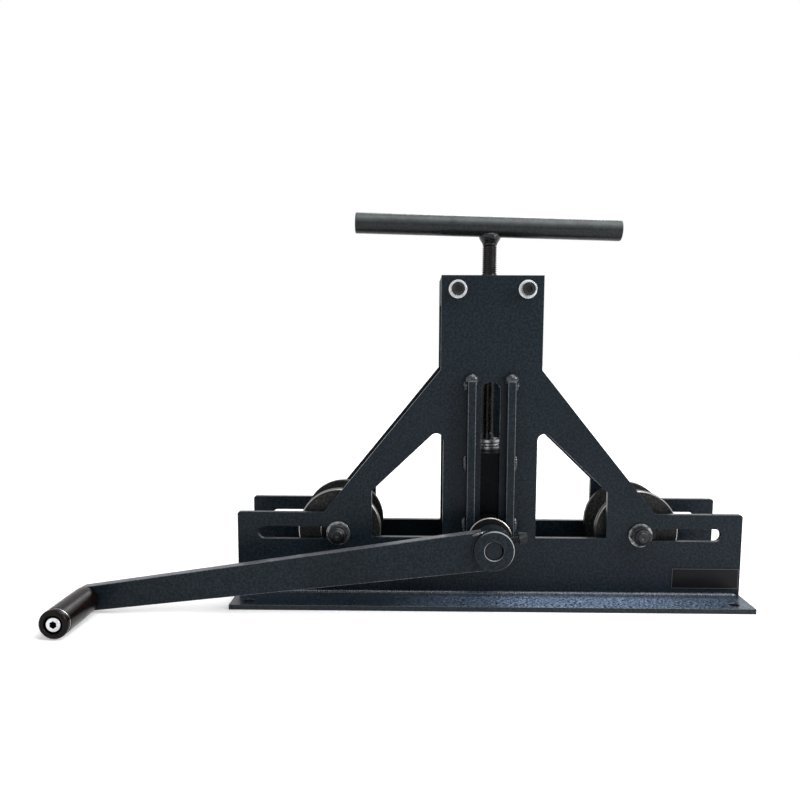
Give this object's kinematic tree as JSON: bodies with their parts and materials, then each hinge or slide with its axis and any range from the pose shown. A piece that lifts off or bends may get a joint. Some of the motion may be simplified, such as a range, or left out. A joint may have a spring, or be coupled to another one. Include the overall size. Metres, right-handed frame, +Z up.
{
  "type": "manual ring roller",
  "caption": "Hand-cranked ring roller: two slotted side plates on a foot plate, sliding grooved outer rollers and a cranked drive roller pressed down by a tee-handled screw.",
  "frame": {"origin": "centre of the four mounting holes, on the underside of the base plate", "axes": "+X to the right seen from the crank's side, +Y away from the crank, +Z up"},
  "size_m": [0.6559, 0.2458, 0.3899],
  "materials": {
    "charcoal_paint": "fine-textured charcoal powder coat",
    "black_oxide_steel": "black oxide, lightly oiled",
    "zinc_plate": "bright zinc plate",
    "machined_steel": "turned and ground steel",
    "bronze": "turned bearing bronze",
    "black_grip": "glossy black plastic with a reddish tint"
  },
  "bodies": {
    "frame": {"base_plate": "charcoal_paint", "front_side_plate": "charcoal_paint", "rear_side_plate": "charcoal_paint", "base_fillet_welds": "charcoal_paint", "front_guide_rails": "charcoal_paint", "rear_guide_rails": "charcoal_paint", "nut_block": "charcoal_paint", "thread_bush": "black_oxide_steel", "block_screws": "black_oxide_steel", "block_washers": "zinc_plate"},
    "yoke": {"yoke_bridge": "charcoal_paint", "front_yoke_cheek": "charcoal_paint", "rear_yoke_cheek": "charcoal_paint", "yoke_screws": "black_oxide_steel", "shaft_bearing_outer_rings": "machined_steel", "shaft_bearing_balls": "machined_steel", "front_guide_block": "machined_steel", "rear_guide_block": "machined_steel", "thrust_lower_race": "machined_steel", "thrust_ball_cage": "machined_steel"},
    "screw": {"press_screw": "black_oxide_steel", "tee_bar": "charcoal_paint", "thrust_upper_race": "machined_steel", "screw_lock_collar": "black_oxide_steel", "lock_collar_screw": "black_oxide_steel"},
    "drive": {"drive_shaft": "machined_steel", "drive_roller": "machined_steel", "roller_key": "machined_steel", "shaft_bearing_inner_rings": "machined_steel", "front_shaft_washer": "black_oxide_steel", "rear_shaft_washer": "black_oxide_steel", "rear_shaft_collar": "black_oxide_steel", "rear_collar_screw": "black_oxide_steel", "crank_hub": "charcoal_paint", "crank_set_screw": "black_oxide_steel", "crank_arm": "charcoal_paint", "grip_bolt": "zinc_plate", "grip_tube": "machined_steel", "grip_lock_nut": "black_oxide_steel"},
    "grip": {"crank_grip": "black_grip"},
    "left_axle": {"left_axle_stud": "black_oxide_steel", "left_axle_sleeve": "machined_steel", "left_roller_spacers": "machined_steel", "left_axle_washers": "zinc_plate", "left_axle_nuts": "black_oxide_steel"},
    "left_roller": {"left_roller_hub": "machined_steel", "left_roller_discs": "machined_steel", "left_roller_bushes": "bronze"},
    "right_axle": {"right_axle_stud": "black_oxide_steel", "right_axle_sleeve": "machined_steel", "right_roller_spacers": "machined_steel", "right_axle_washers": "zinc_plate", "right_axle_nuts": "black_oxide_steel"},
    "right_roller": {"right_roller_hub": "machined_steel", "right_roller_discs": "machined_steel", "right_roller_bushes": "bronze"}
  },
  "joints": [
    {"name": "press_slide", "type": "slide", "parent": "frame", "child": "yoke", "axis": [0, 0, 1], "range_m": [0, 0.136]},
    {"name": "screw_turn", "type": "hinge", "parent": "yoke", "child": "screw", "pos_m": [0, 0, 0.25], "axis": [0, 0, 1], "range_deg": [0, 24480]},
    {"name": "crank_turn", "type": "hinge", "parent": "yoke", "child": "drive", "pos_m": [0, 0, 0.065], "axis": [0, 1, 0], "continuous": true},
    {"name": "grip_turn", "type": "hinge", "parent": "drive", "child": "grip", "pos_m": [-0.38766, -0.13, 0.01396], "axis": [0, 1, 0], "continuous": true},
    {"name": "left_axle_slide", "type": "slide", "parent": "frame", "child": "left_axle", "axis": [-1, 0, 0], "range_m": [0, 0.075]},
    {"name": "left_roller_spin", "type": "hinge", "parent": "left_axle", "child": "left_roller", "pos_m": [-0.152, 0, 0.067], "axis": [0, 1, 0], "continuous": true},
    {"name": "right_axle_slide", "type": "slide", "parent": "frame", "child": "right_axle", "axis": [1, 0, 0], "range_m": [0, 0.075]},
    {"name": "right_roller_spin", "type": "hinge", "parent": "right_axle", "child": "right_roller", "pos_m": [0.152, 0, 0.067], "axis": [0, 1, 0], "continuous": true}
  ],
  "couplings": [
    {"joint": "press_slide", "follows": "screw_turn", "m_per_rad": 0.00031831}
  ]
}
